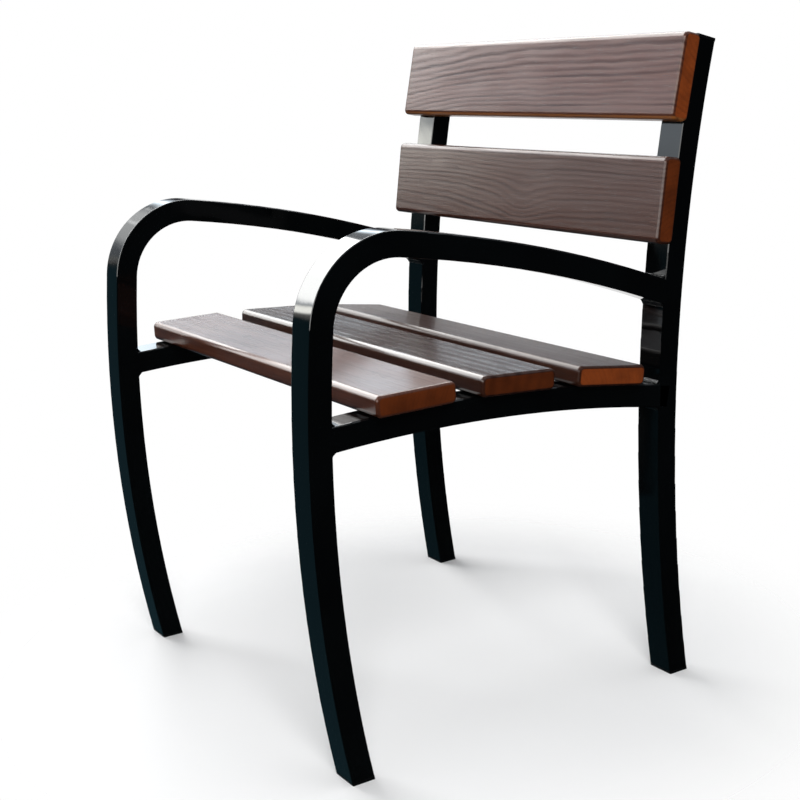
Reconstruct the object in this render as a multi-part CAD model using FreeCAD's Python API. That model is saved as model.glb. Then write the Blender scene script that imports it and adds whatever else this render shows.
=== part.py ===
import FreeCAD, Part
import math
import os

os.makedirs("parts", exist_ok=True)
Vector = FreeCAD.Vector

# An outdoor armchair. Two side frames, each welded from three bowed steel tubes, stand left and
# right. Three boards screwed on the seat rails make the seat, and two on the posts make the back.
# The chair faces -Y, its sitter's left is +X, and it stands on z = 0. Every size is in millimetres.
# Depths (Y) are counted from the middle between the feet until the last step moves the origin.

# Side frames: one rectangular tube section, with its wide side across the chair
frame_width = 590.0
tube_width = 40.0
tube_depth = 30.0
tube_wall = 2.0
tube_corner = 1.6
least_corner = 0.8

# Bows: radius of each tube's centre line, and the place of the bow's crown
front_leg_radius = 1815.0
front_leg_crown_depth = -282.0
front_leg_crown_height = 344.0
armrest_radius = 1850.0
armrest_crown_depth = -438.0
armrest_crown_above_rail = 222.0
front_bend_radius = 93.0
rear_post_radius = 2154.0
rear_post_crown_depth = 226.0
rear_post_crown_height = 306.0
seat_rail_radius = 1936.0
seat_rail_crown_depth = -143.5
seat_rail_crown_height = 422.0

# Slats
seat_slat_overhang = 17.0
back_slat_overhang = 8.0
slat_width = 107.0
slat_thickness = 26.0
slat_edge_radius = 7.0
slat_end_radius = 5.0

# Free lengths of the tubes before, between and behind the slats
seat_slat_behind_leg = 48.4
seat_slat_before_post = 41.7
back_slat_over_armrest = 43.3
back_slat_gap = 43.0

# Weld beads
weld_leg = 6.0
weld_root = 1.0
weld_end_inset = 1.5
weld_throat_share = 0.36
weld_clearance = 0.1

# Plugs in the feet and caps on the posts
plug_head_thickness = 4.0
plug_spigot_length = 16.0
plug_wall = 2.0
plug_clearance = 0.2
cap_lip = 0.5
cap_edge_radius = 1.0
cap_rise = 2.0
cap_screw_clearance = 2.2

# Wood screws with hex heads inside the tubes, their washers, and the holes that a socket goes through
screw_shank_radius = 3.0
screw_head_across_flats = 10.0
screw_head_height = 4.0
screw_bite = 18.0
screw_tip = 5.0
screw_edge_distance = 23.5
screw_hole_clearance = 0.3
screw_access_radius = 7.0
pilot_clearance = 0.05
pilot_spare_depth = 1.0
washer_radius = 6.0
washer_thickness = 1.5
washer_hole_clearance = 0.25

# How far every cut runs past what it cuts
overrun = 10.0

# Directions and turns
across = Vector(1, 0, 0)
rearward = Vector(0, 1, 0)
forward = Vector(0, -1, 0)
upward = Vector(0, 0, 1)
downward = Vector(0, 0, -1)
half_turn = math.pi
quarter_turn = math.pi / 2
hexagon_flats = 6


# Circles of the side plane: points, crossings and tangents
def crossing(centre_a, radius_a, centre_b, radius_b, near):
    """The point where two circles cross, of the two the one nearer to a given point."""
    between = centre_b - centre_a
    distance = between.Length
    along = (radius_a ** 2 - radius_b ** 2 + distance ** 2) / (2 * distance)
    aside = math.sqrt(radius_a ** 2 - along ** 2)
    line = between.normalize()
    side = across.cross(line)
    points = [centre_a + line * along + side * way for way in (aside, -aside)]
    return min(points, key=lambda point: (point - near).Length)


def angle_of(centre, point):
    """The angle at which a point lies as seen from a centre, from the rear towards the top."""
    angle = math.atan2(point.z - centre.z, point.y - centre.y)
    return angle % (2 * math.pi)


def tangent(centre, point, towards):
    """The circle's direction at a point, on the side that a given direction points to."""
    direction = across.cross(point - centre).normalize()
    if direction.dot(towards) < 0:
        direction = direction * -1
    return direction


# Centres of the bows
armrest_crown_height = seat_rail_crown_height + armrest_crown_above_rail
front_leg_centre = Vector(0, front_leg_crown_depth + front_leg_radius, front_leg_crown_height)
armrest_centre = Vector(0, armrest_crown_depth, armrest_crown_height - armrest_radius)
rear_post_centre = Vector(0, rear_post_crown_depth + rear_post_radius, rear_post_crown_height)
seat_rail_centre = Vector(0, seat_rail_crown_depth, seat_rail_crown_height - seat_rail_radius)

# The front bend runs smoothly into the front leg and into the armrest
front_bend_centre = crossing(
    front_leg_centre, front_leg_radius - front_bend_radius,
    armrest_centre, armrest_radius - front_bend_radius,
    Vector(0, front_leg_crown_depth, armrest_crown_height))
leg_bend_angle = angle_of(front_leg_centre, front_bend_centre)
bend_arm_angle = angle_of(armrest_centre, front_bend_centre)

# Faces of the tubes that other pieces lie against
half_depth = tube_depth / 2
leg_rear_face = front_leg_radius - half_depth
post_front_face = rear_post_radius + half_depth
rail_top_face = seat_rail_radius + half_depth
rail_under_face = seat_rail_radius - half_depth
arm_top_face = armrest_radius + half_depth
arm_under_face = armrest_radius - half_depth
tube_middle = (frame_width - tube_width) / 2

# Rough places of the joints, to choose between the two crossings of a pair of circles
near_arm_joint = Vector(0, rear_post_crown_depth, armrest_crown_height)
near_rail_rear = Vector(0, rear_post_crown_depth, seat_rail_crown_height)
near_rail_front = Vector(0, front_leg_crown_depth, seat_rail_crown_height)

# Angles at which the free top of the rail and the free front of the post begin and end
rail_front_angle = angle_of(seat_rail_centre, crossing(
    seat_rail_centre, rail_top_face, front_leg_centre, leg_rear_face, near_rail_front))
rail_rear_angle = angle_of(seat_rail_centre, crossing(
    seat_rail_centre, rail_top_face, rear_post_centre, post_front_face, near_rail_rear))
over_armrest_angle = angle_of(rear_post_centre, crossing(
    armrest_centre, arm_top_face, rear_post_centre, post_front_face, near_arm_joint))

# Angles of the slats' middles on the bows: three share the rail, and two stand over the armrest
seat_first_angle = rail_front_angle - (seat_slat_behind_leg + slat_width / 2) / rail_top_face
seat_last_angle = rail_rear_angle + (seat_slat_before_post + slat_width / 2) / rail_top_face
seat_slat_angles = [seat_first_angle, (seat_first_angle + seat_last_angle) / 2, seat_last_angle]
back_first_angle = over_armrest_angle - (back_slat_over_armrest + slat_width / 2) / post_front_face
back_slat_step_angle = (slat_width + back_slat_gap) / post_front_face
back_slat_angles = [back_first_angle, back_first_angle - back_slat_step_angle]
seat_slat_length = frame_width + 2 * seat_slat_overhang
back_slat_length = frame_width + 2 * back_slat_overhang

# The post ends under its cap, whose spigot ends over the hole for the upper slat's upper screw
cap_top_angle = back_slat_angles[-1] - (slat_width / 2 + cap_rise) / post_front_face
post_end_angle = cap_top_angle + plug_head_thickness / post_front_face
screw_hole_radius = screw_shank_radius + screw_hole_clearance
cap_spigot_length = (screw_edge_distance + cap_rise - plug_head_thickness
                     - screw_access_radius - cap_screw_clearance)


# Shapes are made at the rear of a circle about the X axis, where outward is +Y and onward is +Z,
# and are then turned to their angle on a bow.
def on_bow(shape, centre, angle):
    """Turn a shape to its angle about a bow's centre and move it there."""
    placed = shape.copy()
    placed.rotate(Vector(0, 0, 0), across, math.degrees(angle))
    placed.translate(centre)
    return placed


def rounded_rectangle(width, depth, corner):
    """A face in the XY plane with round corners, about the origin."""
    arcs = []
    for number, (side, end) in enumerate(((1, 1), (-1, 1), (-1, -1), (1, -1))):
        middle = Vector(side * (width / 2 - corner), end * (depth / 2 - corner), 0)
        angles = [quarter_turn * (number + share) for share in (0, 0.5, 1)]
        arcs.append([middle + Vector(corner * math.cos(a), corner * math.sin(a), 0) for a in angles])
    edges = []
    for number, points in enumerate(arcs):
        edges.append(Part.Arc(*points).toShape())
        next_start = arcs[(number + 1) % len(arcs)][0]
        edges.append(Part.LineSegment(points[-1], next_start).toShape())
    return Part.Face(Part.Wire(edges))


def bowed_bar(centre, radius, start, end, inset=0):
    """The tube's outline, drawn in by an inset, swept along a bow between two angles."""
    corner = max(tube_corner - inset, least_corner)
    outline = rounded_rectangle(tube_width - 2 * inset, tube_depth - 2 * inset, corner)
    outline.translate(Vector(0, radius, 0))
    bar = outline.revolve(Vector(0, 0, 0), across, math.degrees(end - start))
    return on_bow(bar, centre, start)


def foot_angle(radius, crown_height):
    """Where a leg's bow is safely below the floor."""
    return half_turn + math.asin((crown_height + overrun) / radius)


def slab(low, high):
    """A block larger than the chair between two heights."""
    side = 2 * armrest_radius
    block = Part.makeBox(side, side, high - low)
    block.translate(Vector(-side / 2, -side / 2, low))
    return block


# The three bars of a side frame as full sections, or drawn in by an inset
def leg_and_armrest_bar(inset=0):
    foot = foot_angle(front_leg_radius, front_leg_crown_height)
    arm_end = angle_of(armrest_centre, crossing(
        armrest_centre, armrest_radius, rear_post_centre, rear_post_radius, near_arm_joint))
    leg = bowed_bar(front_leg_centre, front_leg_radius, leg_bend_angle, foot, inset)
    bend = bowed_bar(front_bend_centre, front_bend_radius, bend_arm_angle, leg_bend_angle, inset)
    arm = bowed_bar(armrest_centre, armrest_radius, arm_end, bend_arm_angle, inset)
    return leg.fuse([bend, arm])


def rear_post_bar(inset=0):
    foot = foot_angle(rear_post_radius, rear_post_crown_height)
    return bowed_bar(rear_post_centre, rear_post_radius, post_end_angle, foot, inset)


def seat_rail_bar(inset=0):
    rear = angle_of(seat_rail_centre, crossing(
        seat_rail_centre, seat_rail_radius, rear_post_centre, rear_post_radius, near_rail_rear))
    front = angle_of(seat_rail_centre, crossing(
        seat_rail_centre, seat_rail_radius, front_leg_centre, front_leg_radius, near_rail_front))
    return bowed_bar(seat_rail_centre, seat_rail_radius, rear, front, inset)


# Screws: each lies on a radius of the bow that it goes through
def screw_angles(slat_angle, face_radius):
    """The angles of a slat's two screws on one tube."""
    from_middle = slat_width / 2 - screw_edge_distance
    return [slat_angle + way * from_middle / face_radius for way in (-1, 1)]


def seat_screw_angles():
    return [angle for slat_angle in seat_slat_angles for angle in screw_angles(slat_angle, rail_top_face)]


def back_screw_angles():
    return [angle for slat_angle in back_slat_angles for angle in screw_angles(slat_angle, post_front_face)]


def washer_seat(face_radius):
    """The radius at which a flat washer just touches the inside of the wall that a slat lies on."""
    return math.sqrt((face_radius - tube_wall) ** 2 - washer_radius ** 2)


def screw(face_radius):
    """A hex head under its washer, a plain shank and a pointed tip, along +Y."""
    seat = washer_seat(face_radius)
    flat_turn = half_turn / hexagon_flats
    head_corner = screw_head_across_flats / 2 / math.cos(flat_turn)
    turns = [2 * flat_turn * number for number in range(hexagon_flats)]
    corners = [Vector(head_corner * math.cos(turn), 0, head_corner * math.sin(turn)) for turn in turns]
    outline = Part.makePolygon(corners + corners[:1])
    head = Part.Face(outline).extrude(rearward * screw_head_height)
    head.translate(Vector(0, seat - washer_thickness - screw_head_height, 0))
    tip_start = face_radius + screw_bite - screw_tip
    shank_start = seat - washer_thickness
    shank = Part.makeCylinder(screw_shank_radius, tip_start - shank_start,
                              Vector(0, shank_start, 0), rearward)
    tip = Part.makeCone(screw_shank_radius, 0, screw_tip, Vector(0, tip_start, 0), rearward)
    return head.fuse([shank, tip]).removeSplitter()


def washer(face_radius):
    base = Vector(0, washer_seat(face_radius) - washer_thickness, 0)
    disc = Part.makeCylinder(washer_radius, washer_thickness, base, rearward)
    hole_radius = screw_shank_radius + washer_hole_clearance
    hole = Part.makeCylinder(hole_radius, washer_thickness, base, rearward)
    return disc.cut(hole)


def tube_hole(face_radius):
    """A clearance hole in the wall that a slat lies on, and a wider one in the wall across from it."""
    middle = Vector(0, face_radius - half_depth, 0)
    reach = half_depth + overrun
    narrow = Part.makeCylinder(screw_hole_radius, reach, middle, rearward)
    wide = Part.makeCylinder(screw_access_radius, reach, middle, forward)
    return narrow.fuse(wide)


def pilot_hole(face_radius):
    """The hole that a screw's shank fills in its slat."""
    base = Vector(0, face_radius - overrun, 0)
    return Part.makeCylinder(screw_shank_radius + pilot_clearance,
                             overrun + screw_bite + pilot_spare_depth, base, rearward)


def at_each(shape, centre, angles):
    return [on_bow(shape, centre, angle) for angle in angles]


def cut_all(shape, tools):
    """Cut a shape by one tool after another, since the tools cross each other."""
    for tool in tools:
        shape = shape.cut(tool)
    return shape


# Side frame pieces, about the tube's own middle plane
def front_leg_and_armrest(post_envelope, leg_envelope):
    tools = [post_envelope, slab(-2 * overrun, plug_head_thickness), leg_and_armrest_bar(tube_wall)]
    return cut_all(leg_envelope, tools).removeSplitter()


def rear_post(post_envelope):
    holes = at_each(tube_hole(post_front_face), rear_post_centre, back_screw_angles())
    tools = [slab(-2 * overrun, plug_head_thickness), rear_post_bar(tube_wall)]
    return cut_all(post_envelope, tools + holes)


def seat_rail(post_envelope, leg_envelope):
    holes = at_each(tube_hole(rail_top_face), seat_rail_centre, seat_screw_angles())
    tools = [post_envelope, leg_envelope, seat_rail_bar(tube_wall)]
    return cut_all(seat_rail_bar(), tools + holes)


def weld_bead(centre_a, radius_a, centre_b, radius_b, near, way_a, way_b):
    """A hollow-faced fillet in the corner between two tube faces, before the tubes are cut away."""
    corner = crossing(centre_a, radius_a, centre_b, radius_b, near)
    along_a = tangent(centre_a, corner, way_a)
    along_b = tangent(centre_b, corner, way_b)
    toe_a = corner + along_a * weld_leg
    toe_b = corner + along_b * weld_leg
    throat = corner + (along_a + along_b) * weld_leg * weld_throat_share
    root_a = toe_a - along_b * weld_root
    root_b = toe_b - along_a * weld_root
    root = corner - (along_a + along_b) * weld_root
    edges = [Part.LineSegment(root, root_a).toShape(), Part.LineSegment(root_a, toe_a).toShape(),
             Part.Arc(toe_a, throat, toe_b).toShape(),
             Part.LineSegment(toe_b, root_b).toShape(), Part.LineSegment(root_b, root).toShape()]
    half_length = tube_width / 2 - weld_end_inset
    bead = Part.Face(Part.Wire(edges)).extrude(across * 2 * half_length)
    bead.translate(across * -half_length)
    return bead


def weld_beads():
    """Beads over and under each end of the rail and over and under the armrest's end."""
    rail_at_post = [
        weld_bead(seat_rail_centre, face, rear_post_centre, post_front_face, near_rail_rear, forward, way)
        for face, way in ((rail_top_face, upward), (rail_under_face, downward))]
    rail_at_leg = [
        weld_bead(seat_rail_centre, face, front_leg_centre, leg_rear_face, near_rail_front, rearward, way)
        for face, way in ((rail_top_face, upward), (rail_under_face, downward))]
    arm_at_post = [
        weld_bead(armrest_centre, face, rear_post_centre, post_front_face, near_arm_joint, forward, way)
        for face, way in ((arm_top_face, upward), (arm_under_face, downward))]
    tubes = [bar(-weld_clearance) for bar in (rear_post_bar, leg_and_armrest_bar, seat_rail_bar)]
    return [cut_all(bead, tubes) for bead in rail_at_post + rail_at_leg + arm_at_post]


def foot_plug(centre, radius, crown_height):
    """A flat head under a leg's cut end, with a hollow spigot up inside the tube."""
    foot = foot_angle(radius, crown_height)
    spigot_inset = tube_wall + plug_clearance
    spigot_span = slab(plug_head_thickness, plug_head_thickness + plug_spigot_length)
    head = bowed_bar(centre, radius, half_turn, foot).common(slab(0, plug_head_thickness))
    spigot = bowed_bar(centre, radius, half_turn, foot, spigot_inset).common(spigot_span)
    hollow = bowed_bar(centre, radius, half_turn, foot, spigot_inset + plug_wall).common(spigot_span)
    return head.fuse(spigot.cut(hollow)).removeSplitter()


def post_cap():
    """A lipped head on the post's end, with a hollow spigot down inside the tube."""
    spigot_end_angle = post_end_angle + cap_spigot_length / post_front_face
    spigot_inset = tube_wall + plug_clearance
    head = bowed_bar(rear_post_centre, rear_post_radius, cap_top_angle, post_end_angle, -cap_lip)
    rim = [edge for edge in head.Edges
           if all(angle_of(rear_post_centre, vertex.Point) < (cap_top_angle + post_end_angle) / 2
                  for vertex in edge.Vertexes)]
    head = head.makeFillet(cap_edge_radius, rim)
    spigot = bowed_bar(rear_post_centre, rear_post_radius, post_end_angle, spigot_end_angle, spigot_inset)
    hollow = bowed_bar(rear_post_centre, rear_post_radius, post_end_angle, spigot_end_angle,
                       spigot_inset + plug_wall)
    return head.fuse(spigot.cut(hollow)).removeSplitter()


# Slats
def slat(length, centre, face_radius, angle):
    """A board lying on a bow's outer face, round along its edges and softly round at its ends."""
    board = Part.makeBox(length, slat_thickness, slat_width)
    board.translate(Vector(-length / 2, face_radius, -slat_width / 2))
    long_edges = [edge for edge in board.Edges if edge.BoundBox.XLength > length / 2]
    board = board.makeFillet(slat_edge_radius, long_edges)
    end_edges = [edge for edge in board.Edges
                 if edge.BoundBox.XLength < slat_end_radius
                 and abs(edge.BoundBox.Center.x) > (length - slat_end_radius) / 2]
    board = board.makeFillet(slat_end_radius, end_edges)
    return on_bow(board, centre, angle)


def screwed_slat(length, centre, face_radius, angle):
    """A slat with the pilot holes of its four screws."""
    holes = []
    for side in (-1, 1):
        for hole in at_each(pilot_hole(face_radius), centre, screw_angles(angle, face_radius)):
            hole.translate(across * side * tube_middle)
            holes.append(hole)
    return cut_all(slat(length, centre, face_radius, angle), holes)


# Every node: a name and its solids
def side_nodes():
    leg_envelope = leg_and_armrest_bar()
    post_envelope = rear_post_bar()
    seat_angles = seat_screw_angles()
    back_angles = back_screw_angles()
    return {
        "front_leg_and_armrest": [front_leg_and_armrest(post_envelope, leg_envelope)],
        "rear_post": [rear_post(post_envelope)],
        "seat_rail": [seat_rail(post_envelope, leg_envelope)],
        "weld_beads": weld_beads(),
        "front_foot_plug": [foot_plug(front_leg_centre, front_leg_radius, front_leg_crown_height)],
        "rear_foot_plug": [foot_plug(rear_post_centre, rear_post_radius, rear_post_crown_height)],
        "post_cap": [post_cap()],
        "seat_screws": at_each(screw(rail_top_face), seat_rail_centre, seat_angles),
        "seat_washers": at_each(washer(rail_top_face), seat_rail_centre, seat_angles),
        "back_screws": at_each(screw(post_front_face), rear_post_centre, back_angles),
        "back_washers": at_each(washer(post_front_face), rear_post_centre, back_angles)}


def slat_nodes():
    nodes = {}
    for name, angle in zip(("front", "middle", "rear"), seat_slat_angles):
        nodes["seat_slat_" + name] = [screwed_slat(
            seat_slat_length, seat_rail_centre, rail_top_face, angle)]
    for name, angle in zip(("lower", "upper"), back_slat_angles):
        nodes["back_slat_" + name] = [screwed_slat(
            back_slat_length, rear_post_centre, post_front_face, angle)]
    return nodes


def all_nodes():
    nodes = slat_nodes()
    for name, solids in side_nodes().items():
        for side, way in (("left", 1), ("right", -1)):
            moved = [solid.copy() for solid in solids]
            for solid in moved:
                solid.translate(across * way * tube_middle)
            nodes[side + "_" + name] = moved
    return nodes


def main():
    """Move the origin to the middle of the chair's depth and write one file per node."""
    nodes = {name: Part.makeCompound([part for solid in solids for part in solid.Solids])
             for name, solids in all_nodes().items()}
    bounds = Part.makeCompound(list(nodes.values())).optimalBoundingBox(False, False)
    to_middle = rearward * -((bounds.YMin + bounds.YMax) / 2)
    for name, shape in sorted(nodes.items()):
        shape.translate(to_middle)
        shape.exportStep(os.path.join("parts", name + ".step"))
        print(name, len(shape.Solids), shape.isValid(), round(shape.Volume))
    print("depth moved by", round(to_middle.y, 3), "box", bounds)


main()
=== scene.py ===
import math

from random import Random

import bmesh
import bpy
from mathutils import Matrix, Vector, noise

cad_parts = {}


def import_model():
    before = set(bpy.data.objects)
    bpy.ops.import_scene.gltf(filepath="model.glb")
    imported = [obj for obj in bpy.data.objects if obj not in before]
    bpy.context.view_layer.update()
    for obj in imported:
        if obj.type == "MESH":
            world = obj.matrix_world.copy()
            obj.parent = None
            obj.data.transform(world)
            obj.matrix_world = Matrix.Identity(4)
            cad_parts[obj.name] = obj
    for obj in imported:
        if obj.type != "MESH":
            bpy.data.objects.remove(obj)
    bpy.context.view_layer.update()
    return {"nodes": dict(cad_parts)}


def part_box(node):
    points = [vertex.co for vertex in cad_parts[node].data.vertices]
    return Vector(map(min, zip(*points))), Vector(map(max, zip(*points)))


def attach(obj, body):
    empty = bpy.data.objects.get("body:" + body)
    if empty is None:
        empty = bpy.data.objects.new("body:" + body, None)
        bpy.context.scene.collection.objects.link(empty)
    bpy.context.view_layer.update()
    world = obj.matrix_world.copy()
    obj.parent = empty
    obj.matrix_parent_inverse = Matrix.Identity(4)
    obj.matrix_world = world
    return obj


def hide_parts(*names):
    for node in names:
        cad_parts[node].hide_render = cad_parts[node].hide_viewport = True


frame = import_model()
nodes = frame["nodes"]

# Camera, measured on the photograph: place in metres, angles in degrees, focal length in pixels
CAMERA_PLACE = Vector((1.602507, -0.997115, 0.825999))
CAMERA_YAW = 58.028
CAMERA_PITCH = -13.731
CAMERA_ROLL = -2.581
FOCAL_PIXELS = 1414.92
PICTURE_PIXELS = 800
SENSOR_MM = 36.0
CLIP_START = 0.05
CLIP_END = 60

# Weld beads, in metres; the lump scales are per metre
WELD_SEEDS = {"left": 4, "right": 9}
WELD_VOXEL = 0.00050
WELD_RIPPLE_PITCH = 0.0022
WELD_RIPPLE_HEIGHT = 0.00028
WELD_RIPPLE_BOW = 60.0
WELD_RIPPLE_JITTER = 1.6
WELD_RIPPLE_JITTER_SCALE = 260
WELD_LUMP_HEIGHT = 0.00030
WELD_LUMP_SCALE = 420
WELD_DROPS = 4
WELD_DROP_RADII = (0.0005, 0.0011)
WELD_DROP_FLATNESS = 0.8

# Floor, in metres
FLOOR_RADIUS = 0.68
FLOOR_FULL_RADIUS = 0.38
FLOOR_SIDES = 96
FLOOR_COLOUR = (0.84, 0.84, 0.84, 1)

# Lamps: name, place, target, width and height in metres, and power in watts
LAMPS = (
    ("window", (-2.62, -0.50, 1.62), (-0.27, -0.20, 0.55), 2.3, 1.4, 90),
    ("top", (0.4, 0.3, 2.9), (0.0, 0.0, 0.4), 1.8, 1.8, 22),
    ("fill", (2.3, -1.2, 2.2), (0.0, 0.0, 0.4), 1.2, 1.2, 55),
)

# World: white to the camera, even on the surfaces
WHITE = (1, 1, 1, 1)
EVEN_LIGHT = (0.30, 0.31, 0.32, 1)

# World seen in gloss: directions of its pale side and of the middle of its white backdrop
STUDIO_PALE_SIDE = (-0.93, -0.30, 0.22)
BACKDROP_MIDDLE = (-0.83, 0.53, -0.17)
GROUND_DARK = (0.010, 0.012, 0.013, 1)
GROUND_PALE = (0.024, 0.062, 0.080, 1)
SKY_DARK = (0.012, 0.014, 0.016, 1)
SKY_OVERHEAD = (0.62, 0.66, 0.70, 1)

# Its pale side by height, in front of the chair's back and behind it
PALE_BY_HEIGHT = (
    (0.0, (0.62, 0.60, 0.55, 1)), (0.06, (0.88, 0.86, 0.81, 1)),
    (0.085, (1.26, 1.30, 1.30, 1)), (0.11, (1.92, 1.99, 1.94, 1)),
    (0.150, (1.60, 1.76, 1.90, 1)), (0.215, (1.58, 1.76, 1.93, 1)),
    (0.60, (0.60, 0.66, 0.70, 1)),
)
REAR_BY_HEIGHT = (
    (0.0, (0.03, 0.03, 0.03, 1)), (0.145, (0.07, 0.07, 0.08, 1)),
    (0.175, (0.66, 0.73, 0.80, 1)), (0.205, (1.14, 1.26, 1.38, 1)),
    (0.235, (3.20, 3.62, 3.95, 1)), (0.255, (3.00, 3.40, 3.70, 1)),
    (0.33, (0.50, 0.53, 0.56, 1)), (0.60, (0.40, 0.42, 0.45, 1)),
)

# How far the noise moves the horizon's edge and the cards' edges
HORIZON_RAGGEDNESS = 0.11
CARD_RAGGEDNESS = 0.02

# Bright cards: the light of each, and its edges as planes with an offset and a softness
CARDS = (
    ((9.6, 9.7, 9.6, 1), (((0.326, -0.225, 0.918), 0.0, 0.035), ((0.119, -0.673, 0.730), 0.0, 0.020),
                          ((-0.410, 0.830, 0.380), 0.02, 0.035), ((-0.760, -0.600, 0.250), 0.0, 0.040),
                          ((0.0, 0.0, -1.0), -0.76, 0.060))),
    ((7.8, 7.8, 7.3, 1), (((0.415, -0.910, 0.0), 0.0, 0.020), ((-0.559, 0.829, 0.0), 0.0, 0.012),
                          ((0.0, 0.0, 1.0), 0.085, 0.016), ((0.0, 0.0, -1.0), -0.160, 0.022))),
    ((4.5, 4.5, 4.4, 1), (((0.0, -1.0, 0.0), 0.82, 0.040), ((0.0, 0.0, 1.0), 0.035, 0.020))),
)

# Where the cards are shaded: middle, and the cosines where the shade starts and is full
CARD_SHADES = (((-0.947, -0.167, 0.276), 0.982, 0.992), ((-0.944, 0.058, 0.326), 0.990, 0.996))
CARD_SHADE_LEAVES = 0.15

# Stain colours of the wood, which each board's tone scales
WOOD_EARLY = (0.165, 0.044, 0.016)
WOOD_LATE = (0.052, 0.0125, 0.0085)
WOOD_PORE = (0.020, 0.007, 0.005)
# Painted light: a paler colour for a board's downward faces, which the board's tone doesn't scale
WOOD_UNDERSIDE_LIGHT = (0.330, 0.110, 0.022)
PORE_SHARE = 0.5

# Layers of stain over the rings: noise, its low and high, the layer's full share, and its colour
STAIN_LAYERS = (
    ("fibre", 0.35, 0.75, 0.40, (0.055, 0.015, 0.009)),
    ("streak", 0.42, 0.80, 0.35, (0.200, 0.052, 0.018)),
    ("patch", 0.35, 0.75, 0.35, (0.080, 0.020, 0.012)),
)

# Colours of the end grain, which each board's end tone scales
END_PALE = (0.250, 0.050, 0.008)
END_DARK = (0.170, 0.034, 0.006)
END_RING = (0.070, 0.015, 0.004)
END_SPECK = (0.080, 0.018, 0.005)
END_RING_SHARE = 0.25
END_SPECK_SHARE = 0.28

# Darkness over one ring, from early wood to late wood
RING_PROFILE = ((0.0, 0.20), (0.14, 0.0), (0.36, 0.16), (0.58, 0.80), (0.74, 1.0), (0.88, 0.72), (1.0, 0.20))

# Noises of a board: scale along, across and in depth per metre, detail, and roughness
BOARD_NOISES = {
    "slow": ((2.6, 10.0, 10.0), 1.0, 0.5),
    "swirl": ((13.0, 22.0, 22.0), 2.0, 0.45),
    "fading": ((7.0, 60.0, 60.0), 2.0, 0.5),
    "fibre": ((9.0, 420.0, 420.0), 4.0, 0.62),
    "streak": ((3.5, 95.0, 95.0), 3.0, 0.55),
    "pore": ((38.0, 1500.0, 1500.0), 1.0, 0.5),
    "patch": ((4.0, 13.0, 13.0), 2.0, 0.5),
    "speck": ((500.0, 700.0, 700.0), 2.0, 0.5),
    "blotch": ((30.0, 45.0, 45.0), 2.0, 0.5),
    "haze": ((14.0, 30.0, 30.0), 3.0, 0.5),
    "sag": ((10.0, 26.0, 26.0), 1.0, 0.5),
}

# Relief of the grain and of the lacquer, in metres
GRAIN_RELIEF = 0.0004
LACQUER_RELIEF = 0.0005
LACQUER_IOR = 1.52

# Boards: the pith's place across and in depth, the width of a ring, and what else sets one off.
# A knot is a swelling of the grain: its place along and across, its reach along and across, and its lift.
BOARDS = {
    "back_slat_upper": dict(
        pith=(0.085, -0.050), ring=0.0064, taper=0.004, seed=3.1, wave=0.0026, drift=0.008,
        contrast=1.15, tone=0.50, groove=0.52, end_tone=0.90,
        # This board gets painted light on its downward faces
        knot=(-0.31, -0.05, 0.11, 0.12, -0.022), rubbed=0.95),
    "back_slat_lower": dict(
        pith=(-0.075, -0.030), ring=0.0060, taper=0.010, seed=8.4, wave=0.0026, drift=0.008,
        contrast=0.9, tone=0.32, gloss=0.85, groove=0.42, end_tone=0.46,
        knot=(0.02, -0.022, 0.055, 0.034, 0.020)),
    "seat_slat_front": dict(
        pith=(0.120, -0.040), ring=0.0056, taper=0.006, seed=12.7, wave=0.0016,
        contrast=0.55, tone=0.50, gloss=0.96, groove=0.30, end_tone=0.42, haze_rough=0.20,
        film_grain=0.05),
    "seat_slat_middle": dict(
        pith=(0.130, -0.030), ring=0.0170, taper=0.012, seed=17.9, wave=0.0012, drift=0.004,
        contrast=1.5, tone=0.20, groove=0.58, end_tone=0.35, film_grain=0.02),
    "seat_slat_rear": dict(
        pith=(-0.100, -0.045), ring=0.0060, taper=0.006, seed=21.3, wave=0.0020,
        contrast=0.7, tone=0.20, gloss=0.56, groove=0.40, end_tone=0.88, haze_rough=0.20,
        film_grain=0.04),
}

# Paint, plastic and zinc
ENAMEL_DARK = (0.0007, 0.0009, 0.0011, 1)
ENAMEL_PALE = (0.0012, 0.0017, 0.0020, 1)
ENAMEL_DUST = (0.012, 0.013, 0.013, 1)
PLASTIC_DARK = (0.0020, 0.0022, 0.0024, 1)
PLASTIC_SCUFFED = (0.0060, 0.0060, 0.0062, 1)
ZINC_BRIGHT = (0.56, 0.57, 0.60, 1)
ZINC_DULL = (0.40, 0.40, 0.40, 1)


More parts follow.
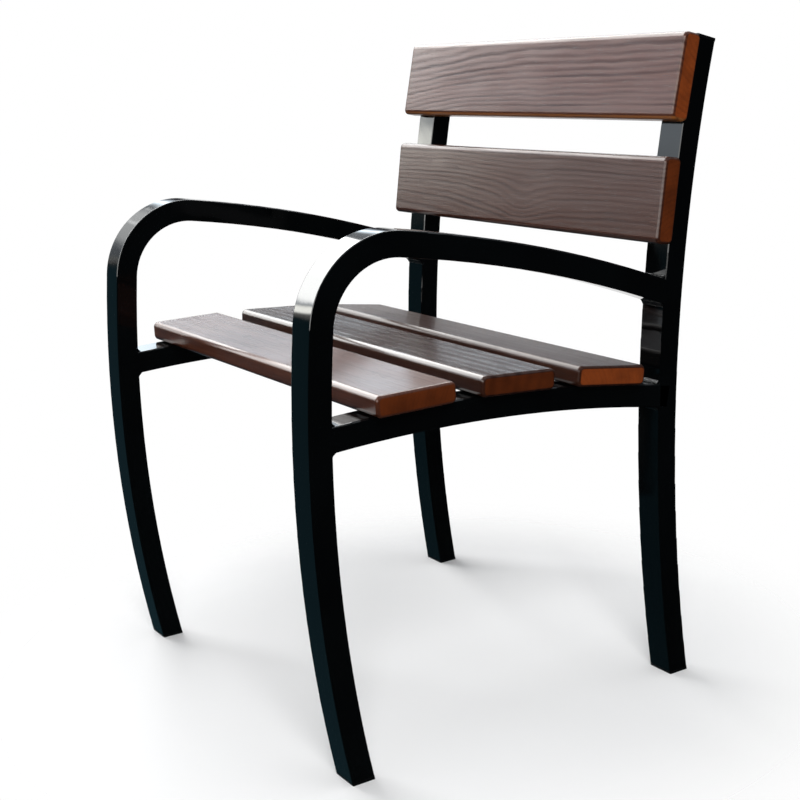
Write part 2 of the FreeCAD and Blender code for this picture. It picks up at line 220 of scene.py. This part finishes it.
# Node trees
class Tree:
    """A material's or world's node tree, with short calls for the nodes used here."""

    def __init__(self, owner):
        owner.use_nodes = True
        self.nodes = owner.node_tree.nodes
        self.links = owner.node_tree.links
        self.nodes.clear()

    def set(self, socket, value):
        if isinstance(value, bpy.types.NodeSocket):
            self.links.new(value, socket)
        else:
            socket.default_value = value

    def add(self, kind, inputs=(), output=0, **settings):
        """Adds a node, sets or links its inputs by index or name, and returns one output."""
        node = self.nodes.new(kind)
        for name, value in settings.items():
            setattr(node, name, value)
        for key, value in dict(inputs).items():
            self.set(node.inputs[key], value)
        return node.outputs[output] if node.outputs else node

    def math(self, operation, *values):
        return self.add("ShaderNodeMath", enumerate(values), operation=operation)

    def scaled(self, vector, scale):
        return self.add("ShaderNodeVectorMath", {0: vector, 1: scale}, operation="MULTIPLY")

    def dimmed(self, colour, factor):
        return self.add("ShaderNodeVectorMath", {0: colour, "Scale": factor}, operation="SCALE")

    def shifted(self, vector, offset):
        return self.add("ShaderNodeVectorMath", {0: vector, 1: offset})

    def cosine(self, direction, other):
        return self.add("ShaderNodeVectorMath", {0: direction, 1: other}, 1, operation="DOT_PRODUCT")

    def place(self):
        return self.add("ShaderNodeTexCoord", output=3)

    def noise(self, vector, scale, detail=2.0, roughness=0.5):
        return self.add("ShaderNodeTexNoise", {
            "Vector": vector, "Scale": scale, "Detail": detail, "Roughness": roughness})

    def mapped(self, value, low, high, to_low=0.0, to_high=1.0, smooth=False):
        kind = "SMOOTHSTEP" if smooth else "LINEAR"
        return self.add("ShaderNodeMapRange", {0: value, 1: low, 2: high, 3: to_low, 4: to_high},
                        interpolation_type=kind)

    def mix(self, share, a, b):
        """Mixes two colours. The node's colour sockets are its inputs 6 and 7 and its output 2."""
        return self.add("ShaderNodeMix", {0: share, 6: a, 7: b}, 2, data_type="RGBA")

    def ramp(self, value, stops):
        node = self.nodes.new("ShaderNodeValToRGB")
        elements = node.color_ramp.elements
        while len(elements) < len(stops):
            elements.new(0.5)
        for element, (place, colour) in zip(elements, stops):
            element.position = place
            element.color = colour
        self.set(node.inputs[0], value)
        return node.outputs[0]

    def parts(self, vector):
        node = self.nodes.new("ShaderNodeSeparateXYZ")
        self.set(node.inputs[0], vector)
        return node.outputs

    def bump(self, height, distance, strength):
        return self.add("ShaderNodeBump", {"Height": height, "Distance": distance, "Strength": strength})

    def principled(self, inputs):
        """Ends a material in one shader."""
        self.surface(self.add("ShaderNodeBsdfPrincipled", inputs))

    def surface(self, shader):
        self.add("ShaderNodeOutputMaterial", {"Surface": shader})


def new_material(name):
    material = bpy.data.materials.new(name)
    return material, Tree(material)


def paint(obj, material):
    obj.data.materials.clear()
    obj.data.materials.append(material)


def link_to_scene(obj):
    bpy.context.scene.collection.objects.link(obj)


# Wood
def toned(colour, tone):
    """A colour scaled by a tone, with full alpha."""
    return tuple(part * tone for part in colour) + (1,)


def board_axes(obj):
    """A board's middle and its axes: along it, across its face, and out of its shown face."""
    faces = [polygon for polygon in obj.data.polygons
             if abs(polygon.normal.x) < 0.01 and polygon.normal.z - polygon.normal.y > 0]
    outward = max(faces, key=lambda polygon: polygon.area).normal.normalized()
    along = Vector((1, 0, 0))
    across = outward.cross(along).normalized()
    low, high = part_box(obj.name)
    return (low + high) / 2, Matrix((along, across, outward)).transposed()


def ring_lines(tree, local, noises, pith, ring, taper, seed, contrast, wave, drift, knot):
    """Dark lines where a board cuts its log's rings: 0 in early wood, and up to contrast in late wood."""
    along, across, depth = tree.parts(local)
    from_pith_across = tree.math("SUBTRACT", across, pith[0])
    from_pith_depth = tree.math("SUBTRACT", depth, pith[1])
    squares = tree.math("ADD", tree.math("MULTIPLY", from_pith_across, from_pith_across),
                        tree.math("MULTIPLY", from_pith_depth, from_pith_depth))
    radius = tree.math("SQRT", squares)
    radius = tree.math("MULTIPLY_ADD", along, taper, radius)
    radius = tree.math("MULTIPLY_ADD", noises["slow"], drift * 2, radius)
    radius = tree.math("MULTIPLY_ADD", noises["swirl"], wave * 2, radius)
    if knot:
        knot_along, knot_across, reach_along, reach_across, lift = knot
        off_along = tree.math("DIVIDE", tree.math("SUBTRACT", along, knot_along), reach_along)
        off_across = tree.math("DIVIDE", tree.math("SUBTRACT", across, knot_across), reach_across)
        off = tree.math("ADD", tree.math("MULTIPLY", off_along, off_along),
                        tree.math("MULTIPLY", off_across, off_across))
        swelling = tree.math("DIVIDE", lift, tree.math("ADD", off, 1.0))
        radius = tree.math("ADD", radius, swelling)
    count = tree.math("DIVIDE", radius, ring)
    late = tree.ramp(tree.math("FRACT", count), [
        (place, (grey, grey, grey, 1)) for place, grey in RING_PROFILE])
    number = tree.add("ShaderNodeCombineXYZ", {0: tree.math("FLOOR", count), 1: seed, 2: 0.0})
    ring_tone = tree.noise(number, 1.7, detail=0.0)
    line = tree.math("MULTIPLY", late, tree.mapped(ring_tone, 0.30, 0.66, 0.40 * contrast, 1.0 * contrast))
    return tree.math("MULTIPLY", line, tree.mapped(noises["fading"], 0.30, 0.62, 0.45, 1.0))


def wood(name, obj, pith, ring, taper, seed, wave, contrast, tone, groove, end_tone,
         drift=0.012, knot=None, gloss=1.0, haze_rough=0.18, rubbed=0.0, film_grain=0.16):
    """A stained board under gloss lacquer, cut from a log whose pith lies at (across, depth)."""
    material, tree = new_material(name)
    middle, axes = board_axes(obj)
    local = tree.add("ShaderNodeMapping", {
        "Vector": tree.place(), "Location": middle, "Rotation": axes.to_euler()}, vector_type="TEXTURE")
    shift = tree.shifted(local, (seed, seed * 0.37, -seed * 0.61))
    noises = {key: tree.noise(tree.scaled(shift, scale), 1.0, detail=detail, roughness=roughness)
              for key, (scale, detail, roughness) in BOARD_NOISES.items()}
    line = ring_lines(tree, local, noises, pith, ring, taper, seed, contrast, wave, drift, knot)
    pores = tree.mapped(noises["pore"], 0.66, 0.74, smooth=True)

    # Stain on the rings, fibres, streaks, patches and pores
    colour = tree.mix(line, toned(WOOD_EARLY, tone), toned(WOOD_LATE, tone))
    for key, low, high, share, layer in STAIN_LAYERS:
        colour = tree.mix(tree.mapped(noises[key], low, high, 0.0, share), colour, toned(layer, tone))
    colour = tree.mix(tree.math("MULTIPLY", pores, PORE_SHARE), colour, toned(WOOD_PORE, tone))

    # End grain takes the stain as an even rust colour, faintly darker along its rings
    normal = tree.parts(tree.add("ShaderNodeNewGeometry", output=1))
    end = tree.mapped(tree.math("ABSOLUTE", normal[0]), 0.90, 0.99, smooth=True)
    end_colour = tree.mix(tree.mapped(noises["blotch"], 0.35, 0.7),
                          toned(END_PALE, end_tone), toned(END_DARK, end_tone))
    end_colour = tree.mix(tree.math("MULTIPLY", line, END_RING_SHARE), end_colour,
                          toned(END_RING, end_tone))
    end_colour = tree.mix(tree.mapped(noises["speck"], 0.45, 0.75, 0.0, END_SPECK_SHARE), end_colour,
                          toned(END_SPECK, end_tone))
    colour = tree.mix(end, colour, end_colour)

    # Painted light: the downward faces along the lower edge get a paler colour, in streaks
    lower = tree.mapped(normal[2], -0.12, -0.45, smooth=True)
    lower = tree.math("MULTIPLY", lower,
                      tree.mapped(noises["streak"], 0.36, 0.56, 0.35 * rubbed, rubbed))
    colour = tree.mix(lower, colour, toned(WOOD_UNDERSIDE_LIGHT, 1.0))

    # Lacquer: gloss with a slight haze, thinner over the late wood, the grain showing as faint relief
    fibre = noises["fibre"]
    haze = noises["haze"]
    coat = tree.math("MULTIPLY_ADD", line, -groove, 1.0)
    coat = tree.math("MULTIPLY_ADD", tree.mapped(fibre, 0.30, 0.75), -0.26, coat)
    coat = tree.math("MULTIPLY", coat, tree.mapped(haze, 0.30, 0.72, 0.86 * gloss, 1.0 * gloss))
    coat = tree.math("MULTIPLY", coat, tree.mapped(end, 0.0, 1.0, 1.0, 0.12))
    relief = tree.math("MULTIPLY_ADD", fibre, 0.45, tree.math("MULTIPLY", line, -0.7))
    relief = tree.math("MULTIPLY_ADD", pores, -0.6, relief)
    film = tree.math("MULTIPLY_ADD", relief, film_grain, noises["sag"])
    coat_rough = tree.mapped(haze, 0.35, 0.70, haze_rough * 0.85, haze_rough * 1.2)
    tree.principled({
        "Base Color": colour, "Roughness": tree.mapped(fibre, 0.3, 0.8, 0.45, 0.60),
        "Normal": tree.bump(relief, GRAIN_RELIEF, 0.6), "Specular IOR Level": 0.12,
        "Coat Weight": coat, "Coat Roughness": coat_rough,
        "Coat Normal": tree.bump(film, LACQUER_RELIEF, 0.5), "Coat IOR": LACQUER_IOR})
    return material


# Other materials
def enamel(name, seed, dull=0.0, lumps=0.0, shine=0.6):
    """Gloss black paint on steel tube, or duller and lumpy paint over the welds."""
    material, tree = new_material(name)
    shift = tree.shifted(tree.place(), (seed, -seed, seed * 0.5))
    cloud = tree.noise(shift, 9.0, detail=3.0)
    dust = tree.noise(shift, 900.0, roughness=0.7)
    peel = tree.noise(shift, 210.0)
    wave = tree.noise(tree.scaled(shift, (26.0, 26.0, 26.0)), 1.0, detail=1.0)
    colour = tree.mix(tree.mapped(cloud, 0.35, 0.7), ENAMEL_DARK, ENAMEL_PALE)
    colour = tree.mix(tree.mapped(dust, 0.70, 0.84, 0.0, 0.30), colour, ENAMEL_DUST)
    if dull:
        rough = tree.mapped(tree.noise(shift, 500.0), 0.30, 0.70, dull * 0.4, dull * 1.4)
    else:
        rough = tree.mapped(cloud, 0.35, 0.70, 0.05, 0.09)
        rough = tree.math("MULTIPLY_ADD", tree.mapped(dust, 0.64, 0.85), 0.10, rough)
    height = tree.math("MULTIPLY_ADD", peel, 0.06 + lumps, wave)
    tree.principled({
        "Base Color": colour, "Roughness": rough, "Normal": tree.bump(height, 0.0005, 0.35),
        "Specular IOR Level": shine})
    return material


def plug_plastic(name):
    """Satin black plastic, scuffed here and there."""
    material, tree = new_material(name)
    place = tree.place()
    grain = tree.noise(place, 1600.0)
    scuff = tree.noise(place, 60.0, detail=4.0, roughness=0.65)
    colour = tree.mix(tree.mapped(scuff, 0.45, 0.75, 0.0, 0.5), PLASTIC_DARK, PLASTIC_SCUFFED)
    tree.principled({
        "Base Color": colour, "Roughness": tree.mapped(scuff, 0.3, 0.8, 0.34, 0.55),
        "Normal": tree.bump(grain, 0.00012, 0.5), "Specular IOR Level": 0.25})
    return material


def zinc(name):
    """Zinc plating on screws and washers."""
    material, tree = new_material(name)
    place = tree.place()
    cloud = tree.noise(place, 120.0, detail=4.0, roughness=0.6)
    fine = tree.noise(place, 2500.0)
    colour = tree.mix(tree.mapped(cloud, 0.35, 0.7), ZINC_BRIGHT, ZINC_DULL)
    tree.principled({
        "Base Color": colour, "Roughness": tree.mapped(cloud, 0.3, 0.75, 0.24, 0.46),
        "Normal": tree.bump(fine, 0.00008, 0.5), "Metallic": 1.0})
    return material


# Materials on the nodes; the left rear post's paint is a little less shiny than the rest
paint_by_side = {"left": enamel("enamel_left", 0.3), "right": enamel("enamel_right", 5.1)}
post_paint = enamel("enamel_left_post", 7.7, shine=0.42)
bead_paint = enamel("enamel_on_welds", 2.2, dull=0.45, lumps=1.2)
plastic = plug_plastic("plug_plastic_satin")
plated = zinc("zinc_plated")
for node, obj in nodes.items():
    if "plug" in node or "cap" in node:
        paint(obj, plastic)
    elif "screws" in node or "washers" in node:
        paint(obj, plated)
    elif node not in BOARDS:
        paint(obj, post_paint if node == "left_rear_post" else paint_by_side[node.split("_")[0]])
        steadied = obj.modifiers.new("steadied_normals", "WEIGHTED_NORMAL")
        steadied.keep_sharp = True
for node, settings in BOARDS.items():
    paint(nodes[node], wood("wood_" + node, nodes[node], **settings))


# Weld beads: the CAD's smooth fillets with the ripples and spatter of hand welding
def connected_parts(mesh):
    """Groups the numbers of a mesh's vertices by the closed piece that they belong to."""
    neighbours = [[] for _ in mesh.vertices]
    for edge in mesh.edges:
        a, b = edge.vertices
        neighbours[a].append(b)
        neighbours[b].append(a)
    seen = [False] * len(neighbours)
    groups = []
    for start in range(len(neighbours)):
        if seen[start]:
            continue
        seen[start] = True
        group = [start]
        for number in group:
            for other in neighbours[number]:
                if not seen[other]:
                    seen[other] = True
                    group.append(other)
        groups.append(group)
    return groups


def fine_mesh(source):
    """A copy of an object's mesh, remeshed fine enough for ripples."""
    rough = bpy.data.objects.new("rough", source.data.copy())
    link_to_scene(rough)
    rough.matrix_world = source.matrix_world
    remesh = rough.modifiers.new("remesh", "REMESH")
    remesh.mode = "VOXEL"
    remesh.voxel_size = WELD_VOXEL
    graph = bpy.context.evaluated_depsgraph_get()
    mesh = bpy.data.meshes.new_from_object(rough.evaluated_get(graph))
    bpy.data.objects.remove(rough)
    return mesh


def rippled(point, normal, middle, start, seed):
    """Where a point of a bead goes: raised and lowered by ripples across the bead, and by lumps."""
    off = point - middle
    bow = (off.y ** 2 + off.z ** 2) * WELD_RIPPLE_BOW
    jitter = noise.noise(point * WELD_RIPPLE_JITTER_SCALE + Vector((seed, 0, 0))) * WELD_RIPPLE_JITTER
    ripple = math.cos(2 * math.pi * (off.x + bow) / WELD_RIPPLE_PITCH + start + jitter)
    lump = noise.noise(point * WELD_LUMP_SCALE + Vector((0, seed, 0)))
    return point + normal * (WELD_RIPPLE_HEIGHT * ripple + WELD_LUMP_HEIGHT * lump)


def welded(side, seed):
    name = side + "_weld_beads"
    mesh = fine_mesh(nodes[name])
    random = Random(seed)
    spatter = bmesh.new()
    moved = []
    for group in connected_parts(mesh):
        points = [mesh.vertices[number].co.copy() for number in group]
        normals = [mesh.vertices[number].normal.copy() for number in group]
        middle = sum(points, Vector()) / len(points)
        start = random.uniform(0, 2 * math.pi)
        for number, point, normal in zip(group, points, normals):
            moved.append((number, rippled(point, normal, middle, start, seed)))
        for _ in range(WELD_DROPS):
            base = points[random.randrange(len(points))]
            radius = random.uniform(*WELD_DROP_RADII)
            size = Matrix.Diagonal((radius, radius, radius * WELD_DROP_FLATNESS, 1))
            bmesh.ops.create_icosphere(spatter, subdivisions=2, radius=1.0,
                                       matrix=Matrix.Translation(base) @ size)
    for number, place in moved:
        mesh.vertices[number].co = place
    spatter.from_mesh(mesh)
    spatter.to_mesh(mesh)
    spatter.free()
    for polygon in mesh.polygons:
        polygon.use_smooth = True
    obj = bpy.data.objects.new(side + "_rippled_weld_beads", mesh)
    link_to_scene(obj)
    paint(obj, bead_paint)
    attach(obj, "root")
    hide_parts(name)


for side, seed in WELD_SEEDS.items():
    welded(side, seed)


# Studio
def floor():
    """A pale round patch that fades out and is left out of reflections."""
    turns = [2 * math.pi * number / FLOOR_SIDES for number in range(FLOOR_SIDES)]
    rim = [(FLOOR_RADIUS * math.cos(turn), FLOOR_RADIUS * math.sin(turn), 0.0) for turn in turns]
    mesh = bpy.data.meshes.new("floor")
    mesh.from_pydata(rim, [], [list(range(FLOOR_SIDES))])
    obj = bpy.data.objects.new("floor", mesh)
    link_to_scene(obj)
    material, tree = new_material("floor_pale")
    distance = tree.add("ShaderNodeVectorMath", {0: tree.place()}, 1, operation="LENGTH")
    shown = tree.mapped(distance, FLOOR_FULL_RADIUS, FLOOR_RADIUS, 1.0, 0.0, smooth=True)
    diffuse = tree.add("ShaderNodeBsdfDiffuse", {"Color": FLOOR_COLOUR})
    clear = tree.add("ShaderNodeBsdfTransparent")
    tree.surface(tree.add("ShaderNodeMixShader", {0: shown, 1: clear, 2: diffuse}))
    paint(obj, material)
    obj.visible_glossy = False


def mirrored_studio(tree):
    """What gloss sees: pale behind the chair, dark on the camera's side, with bright cards."""
    direction = tree.add("ShaderNodeTexCoord", output=0)
    _, sideways, height = tree.parts(direction)
    side = tree.mapped(tree.cosine(direction, STUDIO_PALE_SIDE), 0.0, 0.62, smooth=True)
    ragged = tree.math("SUBTRACT", tree.noise(direction, 16.0, detail=5.0, roughness=0.65), 0.5)

    # The horizon is ragged, and sharper towards the chair's front
    uneven = tree.math("MULTIPLY_ADD", ragged, HORIZON_RAGGEDNESS, height)
    nearer = tree.mapped(sideways, -0.60, -0.67)
    above = tree.mapped(uneven, tree.math("MULTIPLY", nearer, 0.035),
                        tree.math("MULTIPLY_ADD", nearer, -0.020, 0.085), smooth=True)

    # The sky's pale side, which changes with the height and from the chair's front to its rear
    in_front = tree.math("MULTIPLY_ADD", tree.mapped(sideways, -0.52, -0.72),
                         tree.mapped(height, 0.10, 0.19, -0.28, 0.40), 1.0)
    pale = tree.dimmed(tree.ramp(height, PALE_BY_HEIGHT), in_front)
    pale = tree.dimmed(pale, tree.mapped(sideways, -0.44, -0.38, 1.0, 0.22, smooth=True))
    pale = tree.mix(tree.mapped(sideways, 0.10, 0.32, smooth=True), pale,
                    tree.ramp(height, REAR_BY_HEIGHT))
    sky = tree.mix(side, SKY_DARK, pale)
    sky = tree.mix(tree.mapped(height, 0.45, 0.72, smooth=True), sky, SKY_OVERHEAD)

    # The ground, with the white backdrop behind the chair
    ground = tree.mix(side, GROUND_DARK, GROUND_PALE)
    backdrop = tree.mapped(tree.cosine(direction, BACKDROP_MIDDLE), 0.95, 0.985, smooth=True)
    ground = tree.mix(backdrop, ground, WHITE)
    mirrored = tree.mix(above, ground, sky)

    # The cards
    lit = 1.0
    for middle, start, full in CARD_SHADES:
        near = tree.cosine(direction, middle)
        shade = tree.mapped(near, start, full, 1.0, CARD_SHADE_LEAVES, smooth=True)
        lit = tree.math("MULTIPLY", shade, lit)
    for light, edges in CARDS:
        card = lit
        for plane, offset, softness in edges:
            inward = tree.math("MULTIPLY_ADD", ragged, CARD_RAGGEDNESS, tree.cosine(direction, plane))
            edge = tree.mapped(inward, offset - softness, offset + softness, smooth=True)
            card = tree.math("MULTIPLY", card, edge)
        mirrored = tree.mix(card, mirrored, light)
    return mirrored


def world():
    """White for the camera, the mirrored studio for gloss, and even light for the rest."""
    scene_world = bpy.data.worlds.new("studio")
    bpy.context.scene.world = scene_world
    tree = Tree(scene_world)
    path = tree.nodes.new("ShaderNodeLightPath").outputs
    gloss = tree.math("MAXIMUM", path["Is Glossy Ray"], path["Is Transmission Ray"])
    colour = tree.mix(gloss, EVEN_LIGHT, mirrored_studio(tree))
    colour = tree.mix(path["Is Camera Ray"], colour, WHITE)
    background = tree.add("ShaderNodeBackground", {"Color": colour, "Strength": 1.0})
    tree.add("ShaderNodeOutputWorld", {"Surface": background})


def lamp(name, place, target, width, height, power):
    """A soft rectangular lamp that is left out of reflections."""
    data = bpy.data.lights.new(name, "AREA")
    data.shape = "RECTANGLE"
    data.size = width
    data.size_y = height
    data.energy = power
    obj = bpy.data.objects.new(name, data)
    link_to_scene(obj)
    obj.location = place
    obj.visible_glossy = False
    obj.rotation_mode = "QUATERNION"
    obj.rotation_quaternion = (Vector(target) - Vector(place)).to_track_quat("-Z", "Y")


def camera():
    yaw, pitch, roll = (math.radians(angle) for angle in (CAMERA_YAW, CAMERA_PITCH, CAMERA_ROLL))
    back = Vector((math.sin(yaw) * math.cos(pitch), -math.cos(yaw) * math.cos(pitch), -math.sin(pitch)))
    level = Vector((math.cos(yaw), math.sin(yaw), 0))
    rise = level.cross(-back)
    right = level * math.cos(roll) + rise * math.sin(roll)
    up = rise * math.cos(roll) - level * math.sin(roll)
    data = bpy.data.cameras.new("camera")
    data.sensor_width = SENSOR_MM
    data.lens = FOCAL_PIXELS / PICTURE_PIXELS * SENSOR_MM
    data.clip_start = CLIP_START
    data.clip_end = CLIP_END
    obj = bpy.data.objects.new("camera", data)
    link_to_scene(obj)
    turned = Matrix((right, up, back)).transposed().to_4x4()
    obj.matrix_world = Matrix.Translation(CAMERA_PLACE) @ turned
    bpy.context.scene.camera = obj


floor()
world()
for settings in LAMPS:
    lamp(*settings)
camera()
bpy.context.scene.view_settings.view_transform = "Standard"
